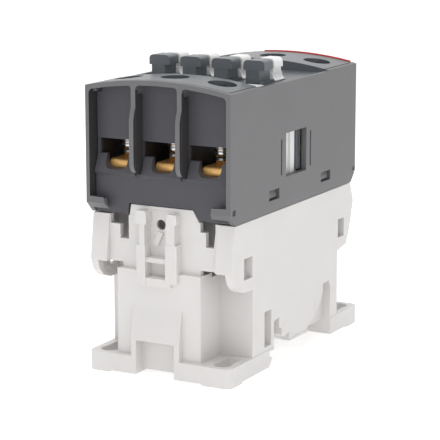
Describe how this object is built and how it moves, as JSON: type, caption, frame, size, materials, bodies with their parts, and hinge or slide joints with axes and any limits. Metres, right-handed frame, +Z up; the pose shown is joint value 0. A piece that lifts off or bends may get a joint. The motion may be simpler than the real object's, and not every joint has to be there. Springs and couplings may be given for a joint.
{
  "type": "din rail contactor",
  "caption": "Modular power contactor for a mounting rail: grey contact housing with screw terminals, white base with magnet system, rail latch and clip-on accessory hooks.",
  "frame": {"origin": "middle of the object's box, on the plane of the four foot pads", "axes": "+Z up from the mounting panel to the hooks on the front, X along the rail, -Y towards the load terminals, +Y towards the line and coil terminals"},
  "size_m": [0.045, 0.0856, 0.0861],
  "materials": {
    "shell": "moulded satin",
    "cover": "moulded satin",
    "panel": "moulded matt",
    "red": "moulded",
    "white": "moulded satin",
    "brass": "plain",
    "steel": "zinc plated",
    "bridge": "copper alloy with silver tips",
    "iron": "laminated iron",
    "copper": "enamelled copper wire",
    "rubber": "plain",
    "board": "green board",
    "wire": "spring steel"
  },
  "bodies": {
    "housing": {"upper_housing": "shell", "front_cover": "cover", "terminal_panel_load": "panel", "terminal_panel_line": "panel", "window_shutter_left": "panel", "window_shutter_right": "panel", "marker_strip": "red", "base_housing": "white", "coil_terminal_block": "white", "coil_bobbin": "white", "fixed_contact_load_1": "brass", "fixed_contact_load_2": "brass", "fixed_contact_load_3": "brass", "fixed_contact_line_1": "brass", "fixed_contact_line_2": "brass", "fixed_contact_line_3": "brass", "magnet_core": "iron", "coil_winding": "copper", "core_pad": "rubber", "control_board": "board", "latch_spring": "wire", "return_spring_left": "wire", "return_spring_right": "wire"},
    "carrier": {"contact_carrier": "white", "armature": "iron", "armature_pin": "steel", "contact_spring_1": "wire", "contact_spring_2": "wire", "contact_spring_3": "wire"},
    "bridge_1": {"contact_bridge_1": "bridge"},
    "bridge_2": {"contact_bridge_2": "bridge"},
    "bridge_3": {"contact_bridge_3": "bridge"},
    "clamp_load_1": {"terminal_clamp_load_1": "steel"},
    "screw_load_1": {"terminal_screw_load_1": "steel"},
    "clamp_load_2": {"terminal_clamp_load_2": "steel"},
    "screw_load_2": {"terminal_screw_load_2": "steel"},
    "clamp_load_3": {"terminal_clamp_load_3": "steel"},
    "screw_load_3": {"terminal_screw_load_3": "steel"},
    "clamp_line_1": {"terminal_clamp_line_1": "steel"},
    "screw_line_1": {"terminal_screw_line_1": "steel"},
    "clamp_line_2": {"terminal_clamp_line_2": "steel"},
    "screw_line_2": {"terminal_screw_line_2": "steel"},
    "clamp_line_3": {"terminal_clamp_line_3": "steel"},
    "screw_line_3": {"terminal_screw_line_3": "steel"},
    "coil_clamp_1": {"coil_clamp_1": "steel"},
    "coil_screw_1": {"coil_screw_1": "steel"},
    "coil_clamp_2": {"coil_clamp_2": "steel"},
    "coil_screw_2": {"coil_screw_2": "steel"},
    "latch": {"rail_latch": "white"}
  },
  "joints": [
    {"name": "carrier_slide", "type": "slide", "parent": "housing", "child": "carrier", "axis": [0, 0, -1], "range_m": [0, 0.0052], "stiffness_N_per_m": 600, "springref_m": -0.005, "deforming": ["return_spring_left", "return_spring_right"]},
    {"name": "bridge_slide_1", "type": "slide", "parent": "carrier", "child": "bridge_1", "axis": [0, 0, 1], "range_m": [0, 0.00201], "deforming": ["contact_spring_1"]},
    {"name": "bridge_slide_2", "type": "slide", "parent": "carrier", "child": "bridge_2", "axis": [0, 0, 1], "range_m": [0, 0.00201], "deforming": ["contact_spring_2"]},
    {"name": "bridge_slide_3", "type": "slide", "parent": "carrier", "child": "bridge_3", "axis": [0, 0, 1], "range_m": [0, 0.00201], "deforming": ["contact_spring_3"]},
    {"name": "clamp_slide_load_1", "type": "slide", "parent": "housing", "child": "clamp_load_1", "axis": [0, 0, 1], "range_m": [-0.0012, 0.0026]},
    {"name": "screw_turn_load_1", "type": "hinge", "parent": "clamp_load_1", "child": "screw_load_1", "pos_m": [-0.0147, -0.03115, 0.069], "axis": [0, 0, 1], "range_deg": [-620, 1340]},
    {"name": "clamp_slide_load_2", "type": "slide", "parent": "housing", "child": "clamp_load_2", "axis": [0, 0, 1], "range_m": [-0.0012, 0.0026]},
    {"name": "screw_turn_load_2", "type": "hinge", "parent": "clamp_load_2", "child": "screw_load_2", "pos_m": [-0.00015, -0.03115, 0.069], "axis": [0, 0, 1], "range_deg": [-620, 1340]},
    {"name": "clamp_slide_load_3", "type": "slide", "parent": "housing", "child": "clamp_load_3", "axis": [0, 0, 1], "range_m": [-0.0012, 0.0026]},
    {"name": "screw_turn_load_3", "type": "hinge", "parent": "clamp_load_3", "child": "screw_load_3", "pos_m": [0.0144, -0.03115, 0.069], "axis": [0, 0, 1], "range_deg": [-620, 1340]},
    {"name": "clamp_slide_line_1", "type": "slide", "parent": "housing", "child": "clamp_line_1", "axis": [0, 0, 1], "range_m": [-0.0012, 0.0026]},
    {"name": "screw_turn_line_1", "type": "hinge", "parent": "clamp_line_1", "child": "screw_line_1", "pos_m": [-0.0147, 0.02785, 0.069], "axis": [0, 0, 1], "range_deg": [-620, 1340]},
    {"name": "clamp_slide_line_2", "type": "slide", "parent": "housing", "child": "clamp_line_2", "axis": [0, 0, 1], "range_m": [-0.0012, 0.0026]},
    {"name": "screw_turn_line_2", "type": "hinge", "parent": "clamp_line_2", "child": "screw_line_2", "pos_m": [-0.00015, 0.02785, 0.069], "axis": [0, 0, 1], "range_deg": [-620, 1340]},
    {"name": "clamp_slide_line_3", "type": "slide", "parent": "housing", "child": "clamp_line_3", "axis": [0, 0, 1], "range_m": [-0.0012, 0.0026]},
    {"name": "screw_turn_line_3", "type": "hinge", "parent": "clamp_line_3", "child": "screw_line_3", "pos_m": [0.0144, 0.02785, 0.069], "axis": [0, 0, 1], "range_deg": [-620, 1340]},
    {"name": "coil_clamp_slide_1", "type": "slide", "parent": "housing", "child": "coil_clamp_1", "axis": [0, 1, 0], "range_m": [-0.0007, 0.0015]},
    {"name": "coil_screw_turn_1", "type": "hinge", "parent": "coil_clamp_1", "child": "coil_screw_1", "pos_m": [-0.0095, 0.0327, 0.0375], "axis": [0, 1, 0], "range_deg": [-510, 1085]},
    {"name": "coil_clamp_slide_2", "type": "slide", "parent": "housing", "child": "coil_clamp_2", "axis": [0, 1, 0], "range_m": [-0.0007, 0.0015]},
    {"name": "coil_screw_turn_2", "type": "hinge", "parent": "coil_clamp_2", "child": "coil_screw_2", "pos_m": [0.0095, 0.0327, 0.0375], "axis": [0, 1, 0], "range_deg": [-510, 1085]},
    {"name": "rail_latch_slide", "type": "slide", "parent": "housing", "child": "latch", "axis": [0, 1, 0], "range_m": [0, 0.002], "stiffness_N_per_m": 1500, "springref_m": -0.002, "deforming": ["latch_spring"]}
  ],
  "couplings": [
    {"joint": "bridge_slide_1", "follows": "carrier_slide", "ratio": 0.38461},
    {"joint": "bridge_slide_2", "follows": "carrier_slide", "ratio": 0.38461},
    {"joint": "bridge_slide_3", "follows": "carrier_slide", "ratio": 0.38461},
    {"joint": "screw_turn_load_1", "follows": "clamp_slide_load_1", "rad_per_m": 8976},
    {"joint": "screw_turn_load_2", "follows": "clamp_slide_load_2", "rad_per_m": 8976},
    {"joint": "screw_turn_load_3", "follows": "clamp_slide_load_3", "rad_per_m": 8976},
    {"joint": "screw_turn_line_1", "follows": "clamp_slide_line_1", "rad_per_m": 8976},
    {"joint": "screw_turn_line_2", "follows": "clamp_slide_line_2", "rad_per_m": 8976},
    {"joint": "screw_turn_line_3", "follows": "clamp_slide_line_3", "rad_per_m": 8976},
    {"joint": "coil_screw_turn_1", "follows": "coil_clamp_slide_1", "rad_per_m": 12566},
    {"joint": "coil_screw_turn_2", "follows": "coil_clamp_slide_2", "rad_per_m": 12566}
  ]
}
